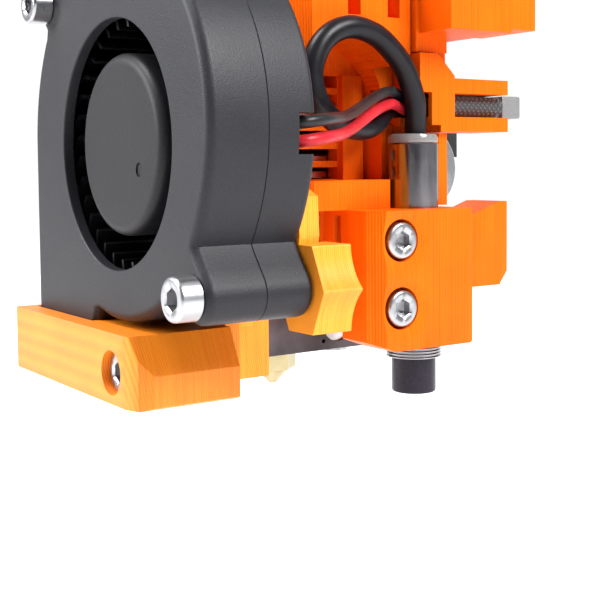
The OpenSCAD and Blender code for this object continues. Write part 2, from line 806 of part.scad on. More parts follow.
module case(y0, y1) {
    prism_y(y0, y1) union() {
        volute();
        ears(ear_r);
    }
}

module ear_holes(y0, y1) {
    for (e = [ear_low, ear_high]) rod_y(2.15, y0, y1, e[0], e[1]);
}

module blower_front_shell() {
    color(dark) difference() {
        case(blower_front, blower_seam);
        prism_y(blower_front + shell_t, blower_seam + eps) volute(shell_t, eps);
        rod_y(inlet_r, blower_front - eps, blower_front + 2, blower_x, blower_z);
        ear_holes(blower_front - eps, blower_seam + eps);
    }
}

module blower_rear_shell() {
    color(dark) difference() {
        union() {
            difference() {
                case(blower_seam, blower_back);
                prism_y(blower_seam - eps, blower_back - shell_t) volute(shell_t, eps);
                ear_holes(blower_seam - eps, blower_back + eps);
            }
            rod_y(1.9, blower_front + 3.2, blower_back - 1, blower_x, blower_z);
        }
        rod_y(shaft_r + shaft_fit, blower_front + 3, blower_back - 1.2, blower_x, blower_z);
        // Notch where the leads come out
        box([42.6, blower_back - 2.6, 2.2], [50, blower_back + eps, 7.2]);
    }
}

module blower_stator() {
    color("peru") difference() {
        union() {
            rod_y(8.8, blower_front + 4.6, blower_back - 3.6, blower_x, blower_z);
            rod_y(10, blower_back - 2.9, blower_back - shell_t, blower_x, blower_z);
            rod_y(4, blower_back - 4, blower_back - 2, blower_x, blower_z);
        }
        rod_y(1.92, blower_front + 4, blower_back, blower_x, blower_z);
    }
}

module blower_impeller() {
    front = blower_front + 0.9;
    back = blower_back - 3.3;
    color(black) translate([blower_x, 0, blower_z]) {
        difference() {
            union() {
                rod_y(hub_r, front, back, 0, 0);
                rod_y(blade_out, back - 0.8, back, 0, 0);
            }
            rod_y(hub_r - 1.2, front + 1.4, back + eps, 0, 0);
        }
        rod_y(shaft_r, front + 1, back - 1.5, 0, 0);
        difference() {
            rod_y(blade_out, front + 1.3, front + 2, 0, 0);
            rod_y(blade_out - 0.9, front + 1, front + 3, 0, 0);
        }
        for (i = [0 : blade_count - 1]) rotate([0, i * 360 / blade_count, 0])
            translate([blade_in, front + 1.3, -0.3]) rotate([0, 18, 0])
                cube([blade_out - blade_in - 0.05, back - front - 1.5, 0.6]);
    }
}

module blower_screws() {
    color(steel) for (e = [ear_low, ear_high])
        translate([e[0], blower_front, e[1]]) rotate([90, 0, 0]) cap_screw(blower_screw_l);
}

module blower_nuts() {
    color(steel) for (e = [ear_low, ear_high])
        translate([e[0], bracket_back + 0.3, e[1]]) rotate([-90, 0, 0]) nut();
}

// Hexagonal standoff, wider than high corners to the sides
module standoff(e, y0, y1) {
    prism_y(y0, y1) translate(e)
        polygon([[5.1, 0], [2.6, 5.5], [-2.6, 5.5], [-5.1, 0], [-2.6, -5.5], [2.6, -5.5]]);
}

module countersink(s) {
    rod_y(hole_r, bracket_front - eps, bracket_back + eps, s[0], s[1]);
    translate([s[0], bracket_front - 0.01, s[1]]) rotate([-90, 0, 0])
        cylinder(r1 = 3.05, r2 = hole_r, h = 1.7);
}

module blower_bracket() {
    color(amber) difference() {
        union() {
            for (e = [ear_low, ear_high]) standoff(e, bracket_front, boss_back);
            prism_y(bracket_front, bracket_back) polygon([
                [43, -8], [42.8, -3], [36, 0], [14, 22], [4, 29], [-4, 29], [-6, 22], [-6, 2], [6, -8],
                [30, -16.5], [41, -16.5]
            ]);
            // Lug behind the duct, reaching back under the blower
            box([lug_left, lug_front, -28.4], [29.4, lug_back, -14.5]);
            box([lug_left, lug_front, -22.3], [27, bracket_back - 2.2, -14.5]);
            box([lug_left, lug_front, -21.2], [27, bracket_back, -13]);
        }
        case(blower_back - 10, blower_back + 0.05);
        for (e = [ear_low, ear_high]) {
            rod_y(hole_r, bracket_front - eps, boss_back + eps, e[0], e[1]);
            translate([e[0], bracket_back + 0.25, e[1]]) rotate([-90, 0, 0]) hex(nut_af + 0.2, 4);
        }
        rod_y(tapped_r, lug_front - eps, lug_back + eps, duct_screw_x, duct_screw_z);
        for (s = bracket_screw_places) countersink(s);
        // Access to a screw of the front cover
        rod_y(
            head_r + 0.4, bracket_front - eps, bracket_back + eps,
            cover_screw_places[1][0], cover_screw_places[1][1]
        );
    }
}

module bracket_screws() {
    color(steel) for (s = bracket_screw_places)
        translate([s[0], bracket_front + 0.05, s[1]]) rotate([-90, 0, 0]) difference() {
            union() {
                cylinder(r1 = 2.9, r2 = shank_r, h = 1.6);
                cylinder(r = shank_r, h = 5.8);
            }
            translate([0, 0, -eps]) hex(2, 1.1);
        }
}

// ---------- air duct ----------

module duct_shape() {
    prism_y(duct_front, duct_end) polygon([
        [duct_left, duct_z1], [duct_right - 2.5, duct_z1], [duct_right, duct_waist],
        [duct_right, duct_z0 + 0.4], [duct_right - 0.8, duct_z0], [duct_left, duct_z0]
    ]);
    prism_z(duct_z0, tip_top) duct_plan();
    prism_z(tip_top - eps, duct_z1) polygon([
        [duct_left, duct_end - eps], [16, duct_end - eps],
        [16, blower_back + 1.2], [duct_left, blower_back + 1.2]
    ]);
}

module duct_plan() {
    polygon([
        [duct_left, duct_end - eps], [tip_right, duct_end - eps], [tip_right, -38.2], [13, -33.4],
        [duct_left + 2, -33.4], [duct_left, -40]
    ]);
}

module air_duct() {
    color(orange) difference() {
        intersection() {
            duct_shape();
            prism_z(duct_z0 - 1, duct_z1 + 1) polygon([
                [duct_left, duct_front], [duct_right - 3.2, duct_front], [duct_right - 1, duct_front + 0.8],
                [duct_right, duct_front + 2.6], [duct_right, duct_end], [tip_right, duct_end],
                [tip_right, -33], [duct_left, -33]
            ]);
        }
        // Socket for the blower's outlet
        box(
            [outlet_x0 - gap, blower_front - gap, outlet_z0 - gap],
            [outlet_x1 + gap, blower_back + gap, duct_z1 + eps]
        );
        // Chamber under it, and the slot that aims the air at the nozzle
        box([outlet_x0 + 1.2, blower_front + 1.2, duct_z0 + 1.4], [outlet_x1 - 1.2, -46, outlet_z0]);
        prism_z(duct_z0 + 1.4, tip_top - 1.4) polygon([
            [outlet_x0 + 1.2, -46.1], [19.5, -46.1], [19.5, -39.5], [12, -35], [12, -33], [-4.6, -33],
            [-4.6, -36], [outlet_x0 + 1.2, -40]
        ]);
        // Counterbored screw
        rod_y(head_r + 0.15, duct_front - eps, duct_front + head_h + 1, duct_screw_x, duct_screw_z);
        rod_y(hole_r, duct_front, duct_end + eps, duct_screw_x, duct_screw_z);
    }
}

module duct_screw() {
    color(steel) translate([duct_screw_x, duct_front + head_h + 1, duct_screw_z]) rotate([90, 0, 0])
        cap_screw(duct_screw_l);
}

// ---------- probe ----------

module probe_tube() {
    color(steel) difference() {
        rod_z(probe_r, ring_z1, tube_z1, probe_x, probe_y);
        rod_z(probe_r - 0.5, ring_z1 - eps, tube_z1 + eps, probe_x, probe_y);
    }
}

module probe_cap() {
    color("gainsboro") difference() {
        union() {
            rod_z(probe_r - 0.05, tube_z1, cap_z1, probe_x, probe_y);
            rod_z(probe_r - 0.55, tube_z1 - 3, tube_z1 + eps, probe_x, probe_y);
        }
        rod_z(cable_r + 0.2, cable_route[0].z - 0.1, cap_z1 + eps, cable_route[0].x, cable_route[0].y);
    }
}

module probe_ring() {
    color(steel) translate([probe_x, probe_y, 0]) difference() {
        union() {
            rod_z(probe_r, ptip_z1, ring_z1);
            for (i = [0 : 1]) rod_z(4.35, ptip_z1 + i * 0.9, ptip_z1 + i * 0.9 + 0.6);
        }
        rod_z(3.1, ptip_z1 - eps, ring_z1 + eps);
    }
}

module probe_tip() {
    color(black) translate([probe_x, probe_y, ptip_z0]) rotate_extrude() polygon([
        [0, 0], [3.25, 0], [3.5, 0.25], [3.5, ptip_z1 - ptip_z0], [3.05, ptip_z1 - ptip_z0],
        [3.05, ring_z1 - ptip_z0 - 0.2], [0, ring_z1 - ptip_z0 - 0.2]
    ]);
}

module clamp_screws() {
    color(steel) for (z = clamp_screw_z)
        translate([clamp_right - head_h, clamp_screw_y, z]) rotate([0, 90, 0]) cap_screw(clamp_screw_l);
}

module clamp_nuts() {
    color(steel) for (z = clamp_screw_z)
        translate([nut_x + 0.05, clamp_screw_y, z]) rotate([0, 90, 0]) nut();
}

// ---------- cables ----------

module probe_cable() {
    color(black) tube(cable_route, cable_r);
}

module blower_wire_black() {
    color(black) tube(black_route, wire_r);
}

module blower_wire_red() {
    color("crimson") tube(red_route, wire_r);
}

module cable_sleeve() {
    color(black) rotate([-90, 0, 0]) translate([0, 0, -7.8]) linear_extrude(16) hull() {
        translate([17.4, -10.15]) circle(r = 1.7, $fn = 24);
        translate([20.8, -10.15]) circle(r = 1.7, $fn = 24);
    }
}

module sleeve_plug() {
    color("lightgray") difference() {
        box([15.8, 8.2, 8.3], [22.4, 12.4, 12]);
        for (x = [17.2, 19.1, 21]) rod_y(0.5, 10.5, 12.5, x, 10.15);
    }
}

carriage();
cable_guide();
guide_screw();
belt_clamp();
belt_screws();
lower_bearing();
upper_bearings();
bearing_ties();
carriage_screws();
hotend_body();
probe_holder();
front_cover();
cover_screws();
groove_clamp();
heat_sink();
heat_break();
liner_collet();
filament_liner();
heater_block();
nozzle();
heater_cartridge();
thermistor_cartridge();
block_screws();
hotend_fan_frame();
hotend_fan_impeller();
hotend_fan_screws();
blower_bracket();
bracket_screws();
blower_front_shell();
blower_rear_shell();
blower_impeller();
blower_stator();
blower_screws();
blower_nuts();
air_duct();
duct_screw();
probe_tube();
probe_cap();
probe_ring();
probe_tip();
clamp_screws();
clamp_nuts();
probe_cable();
blower_wire_black();
blower_wire_red();
cable_sleeve();
sleeve_plug();
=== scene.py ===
"""Looks of the hotend assembly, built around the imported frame. Metres, in the frame's own axes."""

import json
import math

import bmesh
import bpy
from mathutils import Euler, Matrix, Vector


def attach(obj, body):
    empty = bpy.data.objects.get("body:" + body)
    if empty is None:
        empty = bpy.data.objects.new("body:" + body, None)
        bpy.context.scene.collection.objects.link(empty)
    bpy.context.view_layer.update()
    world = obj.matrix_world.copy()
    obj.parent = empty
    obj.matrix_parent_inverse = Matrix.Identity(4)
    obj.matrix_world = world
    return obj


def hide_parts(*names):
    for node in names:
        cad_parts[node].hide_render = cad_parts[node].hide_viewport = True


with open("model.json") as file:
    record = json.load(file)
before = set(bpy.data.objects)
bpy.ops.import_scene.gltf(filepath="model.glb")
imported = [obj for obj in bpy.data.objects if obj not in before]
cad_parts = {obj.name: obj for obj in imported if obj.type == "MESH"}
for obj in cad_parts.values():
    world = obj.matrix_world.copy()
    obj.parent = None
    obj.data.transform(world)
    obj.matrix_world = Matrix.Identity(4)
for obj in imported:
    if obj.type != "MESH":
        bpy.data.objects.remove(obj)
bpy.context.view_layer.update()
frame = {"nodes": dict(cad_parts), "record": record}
MM = 0.001

# ---------- camera, floor and light ----------

CAMERA_PLACE = (0.15641, -0.12404, 0.00101)
CAMERA_AZIMUTH = 55.75
CAMERA_DOWN = 3.14
CAMERA_ROLL = -0.57
FLOOR_Z = -0.078
BACKDROP = (-0.83, 0.56, 0)
# The room's brightness, from opposite the backdrop (0) round to it (1)
DIM = (0.36, 0.37, 0.39, 1)
ROOM = ((0.02, (0.03, 0.03, 0.035, 1)), (0.1, DIM), (0.775, DIM), (0.93, (1, 1, 1, 1)))


def make_camera():
    data = bpy.data.cameras.new("camera")
    data.sensor_width = 36
    data.lens = 66.42
    data.shift_y = -0.125
    data.clip_start = 0.005
    camera = bpy.data.objects.new("camera", data)
    bpy.context.scene.collection.objects.link(camera)
    aim = Euler((math.radians(90 - CAMERA_DOWN), 0, math.radians(CAMERA_AZIMUTH))).to_matrix()
    aim = aim @ Matrix.Rotation(math.radians(CAMERA_ROLL), 3, "Z")
    camera.matrix_world = Matrix.Translation(CAMERA_PLACE) @ aim.to_4x4()
    bpy.context.scene.camera = camera


def area_light(name, place, target, size, watts, colour=(1, 1, 1)):
    data = bpy.data.lights.new(name, "AREA")
    data.size = size
    data.energy = watts
    data.color = colour
    light = bpy.data.objects.new(name, data)
    bpy.context.scene.collection.objects.link(light)
    direction = Vector(target) - Vector(place)
    light.matrix_world = Matrix.Translation(place) @ direction.to_track_quat("-Z", "Y").to_matrix().to_4x4()


def sun_light(place, strength):
    data = bpy.data.lights.new("overhead", "SUN")
    data.energy = strength
    data.angle = math.radians(25)
    light = bpy.data.objects.new("overhead", data)
    bpy.context.scene.collection.objects.link(light)
    light.matrix_world = Vector(place).to_track_quat("Z", "Y").to_matrix().to_4x4()


def make_world():
    world = bpy.data.worlds.new("studio")
    world.use_nodes = True
    tree = world.node_tree
    # A white backdrop on the far side, in a dimmer room that is darkest opposite the backdrop
    towards = tree.nodes.new("ShaderNodeVectorMath")
    towards.operation = "DOT_PRODUCT"
    towards.inputs[1].default_value = BACKDROP
    ramp = tree.nodes.new("ShaderNodeValToRGB")
    tree.links.new(tree.nodes.new("ShaderNodeTexCoord").outputs["Generated"], towards.inputs[0])
    halved = tree.nodes.new("ShaderNodeMath")
    halved.operation = "MULTIPLY_ADD"
    halved.inputs[1].default_value = halved.inputs[2].default_value = 0.5
    tree.links.new(towards.outputs["Value"], halved.inputs[0])
    tree.links.new(halved.outputs[0], ramp.inputs[0])
    tree.links.new(ramp.outputs[0], tree.nodes["Background"].inputs["Color"])
    ramp.color_ramp.elements.new(0.1)
    ramp.color_ramp.elements.new(0.7)
    for element, (at, colour) in zip(ramp.color_ramp.elements, ROOM):
        element.position, element.color = at, colour
    tree.nodes["Background"].inputs["Strength"].default_value = 1.03
    bpy.context.scene.world = world
    bpy.context.scene.view_settings.view_transform = "Standard"


def make_floor(material):
    mesh = bpy.data.meshes.new("floor")
    bm = bmesh.new()
    bmesh.ops.create_circle(bm, cap_ends=True, segments=96, radius=1.6)
    bm.to_mesh(mesh)
    bm.free()
    floor = bpy.data.objects.new("floor", mesh)
    floor.location = (0, 0, FLOOR_Z)
    bpy.context.scene.collection.objects.link(floor)
    mesh.materials.append(material)


# ---------- materials ----------


class Surface:
    """A principled material with a few short ways to add procedural detail."""

    def __init__(self, name, **sockets):
        self.material = bpy.data.materials.new(name)
        self.material.use_nodes = True
        self.tree = self.material.node_tree
        self.shader = self.tree.nodes["Principled BSDF"]
        self.place = self.tree.nodes.new("ShaderNodeTexCoord").outputs["Object"]
        self.normal = None
        for socket, value in sockets.items():
            self.shader.inputs[socket.replace("_", " ").title().replace("Ior", "IOR")].default_value = value

    def node(self, kind, **inputs):
        made = self.tree.nodes.new("ShaderNode" + kind)
        for socket, value in inputs.items():
            self.set(made.inputs[socket.replace("_", " ").title()], value)
        return made

    def set(self, socket, value):
        if isinstance(value, bpy.types.NodeSocket):
            self.tree.links.new(value, socket)
        else:
            socket.default_value = value

    def noise(self, scale, detail=2.0, rough=0.5, stretch=None):
        place = self.place
        if stretch:
            place = self.node("Mapping", Vector=self.place, Scale=stretch).outputs[0]
        made = self.node("TexNoise", Vector=place, Scale=scale, Detail=detail, Roughness=rough)
        return made.outputs[0]

    def math(self, operation, a, b=0.0, c=0.0):
        made = self.tree.nodes.new("ShaderNodeMath")
        made.operation = operation
        for socket, value in zip(made.inputs, (a, b, c)):
            self.set(socket, value)
        return made.outputs[0]

    def ramp(self, factor, *stops):
        made = self.tree.nodes.new("ShaderNodeValToRGB")
        self.set(made.inputs[0], factor)
        elements = made.color_ramp.elements
        while len(elements) < len(stops):
            elements.new(0.5)
        for element, (at, colour) in zip(elements, stops):
            element.position = at
            element.color = colour if len(colour) == 4 else (*colour, 1)
        return made.outputs[0]

    def bands(self, direction, pitch, wobble=0.0):
        """A wave from 0 to 1 that repeats every pitch along a direction."""
        dot = self.tree.nodes.new("ShaderNodeVectorMath")
        dot.operation = "DOT_PRODUCT"
        self.set(dot.inputs[0], self.place)
        dot.inputs[1].default_value = Vector(direction).normalized()
        along = dot.outputs["Value"]
        if wobble:
            along = self.math("MULTIPLY_ADD", self.noise(180, 2), wobble, along)
        wave = self.math("SINE", self.math("MULTIPLY", along, 2 * math.pi / pitch))
        return self.math("MULTIPLY_ADD", wave, 0.5, 0.5)

    def bump(self, height, depth, strength=1.0):
        made = self.node("Bump", Height=height, Strength=strength, Distance=depth)
        if self.normal:
            self.tree.links.new(self.normal, made.inputs["Normal"])
        self.normal = made.outputs[0]
        self.tree.links.new(self.normal, self.shader.inputs["Normal"])

    def colour(self, value):
        self.set(self.shader.inputs["Base Color"], value)

    def roughness(self, value):
        self.set(self.shader.inputs["Roughness"], value)


def printed(name, light, dark, direction, pitch, shine=0.09):
    """Printed plastic: fine layer lines with uneven strands, and a slightly blotchy colour."""
    s = Surface(name, ior=1.46, specular_ior_level=shine)
    layers = s.bands(direction, pitch, 0.00006)
    coarse = s.noise(110, 3, 0.55)
    strands = s.noise(2600, 2, 0.5, stretch=tuple(1.0 if abs(d) > 0.5 else 0.02 for d in direction))
    specks = s.noise(2400, 2, 0.6)
    uneven = s.math("MULTIPLY_ADD", strands, 0.5, s.math("MULTIPLY", coarse, 0.38))
    mixed = s.math("MULTIPLY_ADD", layers, 0.18, uneven)
    s.colour(s.ramp(mixed, (0.3, dark), (0.72, light)))
    s.roughness(s.math("MULTIPLY_ADD", specks, 0.3, 0.27))
    s.bump(layers, 0.00005, 0.7)
    s.bump(strands, 0.00007, 0.65)
    s.bump(specks, 0.00003, 0.35)
    return s.material


def moulded(name, light, dark, rough, grain=5200, depth=0.00004, shine=0.5):
    """Moulded plastic with a fine spark-eroded texture."""
    s = Surface(name, ior=1.5, specular_ior_level=shine)
    fine = s.noise(grain, 2, 0.6)
    large = s.noise(90, 3, 0.55)
    mixed = s.math("MULTIPLY_ADD", fine, 0.7, s.math("MULTIPLY", large, 0.3))
    s.colour(s.ramp(mixed, (0.3, dark), (0.72, light)))
    s.roughness(s.math("MULTIPLY_ADD", large, 0.14, rough - 0.07))
    s.bump(fine, depth, 0.7)
    return s.material


def metal(name, light, dark, rough, stretch=(1, 1, 1), grain=1500, depth=0.000008):
    """Metal with fine tool marks along the shortest stretch."""
    s = Surface(name, metallic=1.0)
    marks = s.noise(grain, 3, 0.6, stretch=stretch)
    blotches = s.noise(160, 3, 0.6)
    s.colour(s.ramp(blotches, (0.3, dark), (0.7, light)))
    s.roughness(s.math("MULTIPLY_ADD", marks, 0.16, s.math("MULTIPLY_ADD", blotches, 0.1, rough - 0.13)))
    s.bump(marks, depth, 0.6)
    return s.material


def clear_plastic(name):
    s = Surface(name, roughness=0.12, transmission_weight=0.75, ior=1.49, alpha=1.0)
    s.colour(s.ramp(s.noise(400, 2), (0.3, (0.62, 0.64, 0.62)), (0.7, (0.8, 0.82, 0.8))))
    s.bump(s.noise(700, 2), 0.00003, 0.3)
    return s.material


def jacket(name, light, dark, rough):
    """Cable jacket: smooth, with faint ripples from extrusion."""
    s = Surface(name, ior=1.42, specular_ior_level=0.28)
    ripple = s.noise(420, 3, 0.55)
    s.colour(s.ramp(ripple, (0.3, dark), (0.7, light)))
    s.roughness(s.math("MULTIPLY_ADD", ripple, 0.16, rough - 0.08))
    s.bump(ripple, 0.00006, 0.4)
    s.bump(s.noise(3500, 2), 0.00001, 0.5)
    return s.material


def braided(name):
    """Braided sleeve: two sets of crossing strands."""
    s = Surface(name, ior=1.5, sheen_weight=0.3)
    weave = s.math("MULTIPLY", s.bands((0, 1, 1), 0.0007), s.bands((0, 1, -1), 0.0007))
    s.colour(s.ramp(weave, (0.15, (0.006, 0.006, 0.007)), (0.7, (0.05, 0.05, 0.055))))
    s.roughness(s.math("MULTIPLY_ADD", weave, 0.2, 0.45))
    s.bump(weave, 0.00012, 0.9)
    return s.material


def floor_material():
    s = Surface("floor", roughness=0.6)
    s.colour(s.ramp(s.noise(3, 3), (0.3, (0.8, 0.8, 0.81)), (0.7, (0.84, 0.84, 0.84))))
    return s.material


ORANGE = ((0.87, 0.142, 0.002), (0.73, 0.09, 0.0015))
ALONG_Y = (0, 1, 0)
M = {
    "print": printed("orange_print", *ORANGE, ALONG_Y, 0.0003),
    # The duct's lighter, yellower orange is painted light: a lit copy of the body's orange, for its brightly
    # lit faces.
    "print_duct_painted_light": printed(
        "orange_duct_painted_light", (0.93, 0.27, 0.012), (0.8, 0.17, 0.006), (0.0, 1, 0.16), 0.00034, 0.4,
    ),
    # A lighter, yellower copy of the same orange plastic: painted light on the bracket's lit facets.
    "print_painted_light": printed("amber_print", (0.95, 0.36, 0.03), (0.8, 0.24, 0.015), ALONG_Y, 0.0003, 0.3),
    "case": moulded(
        "blower_plastic", (0.018, 0.018, 0.022), (0.009, 0.009, 0.012), 0.46, depth=0.00006, shine=0.3,
    ),
    # A darker copy of the blower's case plastic for the faces inside the case: painted shade.
    "inside": moulded("case_plastic_painted_shade", (0.004, 0.004, 0.0045), (0.002, 0.002, 0.0025), 0.6),
    "hub": moulded("hub_plastic", (0.024, 0.024, 0.026), (0.012, 0.012, 0.014), 0.45, grain=4200, shine=0.2),
    "blade": moulded("blade_plastic", (0.006, 0.006, 0.007), (0.003, 0.003, 0.0035), 0.3),
    "black": moulded("black_plastic", (0.022, 0.022, 0.024), (0.011, 0.011, 0.012), 0.42),
    "tie": moulded("tie_nylon", (0.02, 0.02, 0.021), (0.01, 0.01, 0.011), 0.36, grain=2500),
    "grey": moulded("plug_plastic", (0.2, 0.2, 0.2), (0.14, 0.14, 0.14), 0.45),
    "ptfe": moulded("liner_ptfe", (0.86, 0.86, 0.83), (0.76, 0.76, 0.73), 0.4),
    "screw": metal("screw_steel", (0.46, 0.46, 0.47), (0.36, 0.36, 0.37), 0.3, depth=0.000002),
    "bearing": metal("bearing_steel", (0.78, 0.78, 0.79), (0.66, 0.66, 0.68), 0.16),
    "chrome": metal("probe_chrome", (0.36, 0.34, 0.35), (0.27, 0.26, 0.27), 0.17, (1, 1, 0.2), 900, 0.000004),
    "sink": metal("sink_aluminium", (0.8, 0.8, 0.81), (0.68, 0.68, 0.69), 0.3, (1, 1, 6)),
    "break": metal("break_steel", (0.62, 0.62, 0.63), (0.5, 0.5, 0.51), 0.28, (1, 1, 6)),
    "block": metal(
        "block_aluminium", (0.14, 0.12, 0.125), (0.08, 0.068, 0.07), 0.4, (1, 0.15, 1), 1300, 0.00002,
    ),
    "brass": metal("nozzle_brass", (0.5, 0.42, 0.24), (0.34, 0.28, 0.14), 0.24, (1, 1, 5)),
    "cartridge": metal("cartridge_steel", (0.7, 0.69, 0.66), (0.5, 0.47, 0.43), 0.3, (0.2, 1, 1)),
    "copper": metal("stator_copper", (0.62, 0.3, 0.13), (0.42, 0.17, 0.07), 0.4, (6, 1, 6)),
    "cable": jacket("cable_black", (0.008, 0.0075, 0.01), (0.004, 0.0035, 0.005), 0.36),
    "wire_red": jacket("wire_red", (0.5, 0.02, 0.03), (0.38, 0.01, 0.018), 0.34),
    "wire_black": jacket("wire_black", (0.02, 0.02, 0.022), (0.01, 0.01, 0.011), 0.34),
    "face": moulded(
        "probe_face", (0.018, 0.014, 0.026), (0.009, 0.007, 0.013), 0.28, grain=1800, depth=0.00002, shine=0.2,
    ),
    "clear": clear_plastic("clear_plastic"),
    "braid": braided("sleeve_braid"),
}

# ---------- mesh helpers ----------


def finish_mesh(name, bm, material, smooth_angle=35, *more):
    """Turns a bmesh into an object: edges over the angle are sharp, and large faces keep their own normal."""
    bmesh.ops.recalc_face_normals(bm, faces=bm.faces)
    limit = math.radians(smooth_angle)
    for face in bm.faces:
        face.smooth = True
    for edge in bm.edges:
        edge.smooth = len(edge.link_faces) == 2 and edge.calc_face_angle(0) < limit
    mesh = bpy.data.meshes.new(name)
    bm.to_mesh(mesh)
    bm.free()
    for one in (material, *more):
        mesh.materials.append(one)
    piece = bpy.data.objects.new(name, mesh)
    bpy.context.scene.collection.objects.link(piece)
    weighted = piece.modifiers.new("weighted", "WEIGHTED_NORMAL")
    weighted.keep_sharp = True
    weighted.weight = 100
    weighted.mode = "FACE_AREA"
    bake(piece)
    return piece


def bake(piece):
    """Gives the object the mesh that its modifiers make."""
    made = bpy.data.meshes.new_from_object(piece.evaluated_get(bpy.context.evaluated_depsgraph_get()))
    piece.modifiers.clear()
    piece.data = made


def combine(first, second, how="DIFFERENCE"):
    """The first shape without the second one, or the two as one."""
    pieces = []
    for shape in (first, second):
        bmesh.ops.remove_doubles(shape, verts=shape.verts, dist=1e-7)
        bmesh.ops.recalc_face_normals(shape, faces=shape.faces)
        mesh = bpy.data.meshes.new("cut")
        shape.to_mesh(mesh)
        shape.free()
        piece = bpy.data.objects.new("cut", mesh)
        bpy.context.scene.collection.objects.link(piece)
        pieces.append(piece)
    cut = pieces[0].modifiers.new("cut", "BOOLEAN")
    cut.operation, cut.solver, cut.object = how, "EXACT", pieces[1]
    bake(pieces[0])
    result = bmesh.new()
    result.from_mesh(pieces[0].data)
    for piece in pieces:
        bpy.data.objects.remove(piece)
    return result


def add_box(bm, low, high):
    corners = [
        bm.verts.new(Vector((x, y, z)) * MM)
        for x in (low[0], high[0]) for y in (low[1], high[1]) for z in (low[2], high[2])
    ]
    for a, b, c, d in ((0, 1, 3, 2), (4, 6, 7, 5), (0, 4, 5, 1), (2, 3, 7, 6), (0, 2, 6, 4), (1, 5, 7, 3)):
        bm.faces.new([corners[i] for i in (a, b, c, d)])


def adopt(piece, body, slot, *nodes):
    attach(piece, body)
    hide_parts(*nodes)


def slot_of(node):
    return next(p["material_slot"] for p in frame["record"]["subparts"] if p["node"] == node)


def facing(direction, at):
    """The matrix that stands a shape made along +Z at a place, pointing in a direction."""
    return Matrix.Translation(Vector(at)) @ Vector(direction).to_track_quat("Z", "Y").to_matrix().to_4x4()


def add_lathe(bm, profile, matrix, segments=64, shape=None):
    """Turns a profile of (radius, height) points round +Z. shape(angle, index) may scale a ring's radius."""
    rings = []
    for index, (radius, height) in enumerate(profile):
        if radius < 1e-9:
            rings.append([bm.verts.new(matrix @ Vector((0, 0, height)))])
            continue
        ring = []
        for k in range(segments):
            angle = 2 * math.pi * k / segments
            r = radius * (shape(angle, index) if shape else 1)
            ring.append(bm.verts.new(matrix @ Vector((r * math.cos(angle), r * math.sin(angle), height))))
        rings.append(ring)
    for low, high in zip(rings, rings[1:]):
        for k in range(segments):
            n = (k + 1) % segments
            if len(low) == 1 and len(high) > 1:
                bm.faces.new((low[0], high[n], high[k]))
            elif len(high) == 1 and len(low) > 1:
                bm.faces.new((low[k], low[n], high[0]))
            elif len(low) > 1:
                bm.faces.new((low[k], low[n], high[n], high[k]))


def fillet(r, h, size, start, end, steps=4):
    """Profile points round a corner whose centre is (r, h), from one angle to another, in degrees."""
    angles = [math.radians(start + (end - start) * i / steps) for i in range(steps + 1)]
    return [(r + size * math.cos(a), h + size * math.sin(a)) for a in angles]


def body_mesh():
    """The printed body as one shape: its right-hand piece is drawn back a little, into the left-hand one."""
    left, right = bmesh.new(), bmesh.new()
    left.from_mesh(frame["nodes"]["hotend_body"].data)
    right.from_mesh(frame["nodes"]["probe_holder"].data)
    for vertex in right.verts:
        if abs(vertex.co.x - 13.05 * MM) < 0.001 * MM:
            vertex.co.x = 12.95 * MM
    return combine(left, right, "UNION")


def sharp_edges(bm, smallest):
    return [
        e for e in bm.edges
        if len(e.link_faces) == 2 and e.calc_face_angle(0) > math.radians(25) and e.calc_length() > smallest
    ]


def round_edges(bm, edges, width, segments):
    bmesh.ops.bevel(
        bm, geom=edges, offset=width, offset_type="OFFSET", segments=segments, profile=0.5,
        affect="EDGES", clamp_overlap=True, loop_slide=True, miter_outer="ARC",
    )


def clamp_corner(edge):
    """Whether an edge is a long outer one of the probe's clamp block."""
    middle = (edge.verts[0].co + edge.verts[1].co) / 2 / MM
    outside = middle.x > 26 or middle.y < -23.5 or middle.z < -26
    return outside and middle.x > 13.2 and middle.z < -6.2 and edge.calc_length() > 7 * MM


def bracket_mesh():
    """The blower's bracket, with the standoff's slanted sides slightly hollowed."""
    bm = bmesh.new()
    bm.from_mesh(frame["nodes"]["blower_bracket"].data)
    hollow, radius = 0.55 * MM, 7.5 * MM
    for side in (1, -1):
        middle = Vector((43 + 3.85, 0, -14.5 + side * 2.75)) * MM
        outward = Vector((5.5, 0, side * 2.5)).normalized()
        centre = middle + outward * (radius - hollow)
        cutter = bmesh.new()
        place = facing((0, 1, 0), (centre.x, -46.8 * MM, centre.z))
        add_lathe(cutter, [(0, 0), (radius, 0), (radius, 6.5 * MM), (0, 6.5 * MM)], place, 96)
        bm = combine(bm, cutter)
    return bm


def soften(node, width, material, segments=2, smallest=0.0012, *others, bm=None, rounder=None):
    """The node's shape with its long straight edges rounded, as a printed or machined edge is."""
    if bm is None:
        bm = bmesh.new()
        bm.from_mesh(frame["nodes"][node].data)
    bmesh.ops.remove_doubles(bm, verts=bm.verts, dist=1e-6)
    bmesh.ops.dissolve_limit(bm, angle_limit=math.radians(1.0), verts=bm.verts, edges=bm.edges)
    if rounder:
        round_edges(bm, [e for e in sharp_edges(bm, smallest) if rounder(e)], 0.8 * MM, 4)
    round_edges(bm, sharp_edges(bm, smallest), width, segments)
    piece = finish_mesh(node + "_shape", bm, material)
    body = next(b for b, members in frame["record"]["behaviour"]["bodies"].items() if node in members)
    adopt(piece, body, slot_of(node), node, *others)
    return piece


def keep(node, material):
    """A CAD node whose own mesh stays, with a better material."""
    for material_slot in frame["nodes"][node].material_slots:
        material_slot.material = material


# ---------- blower ----------

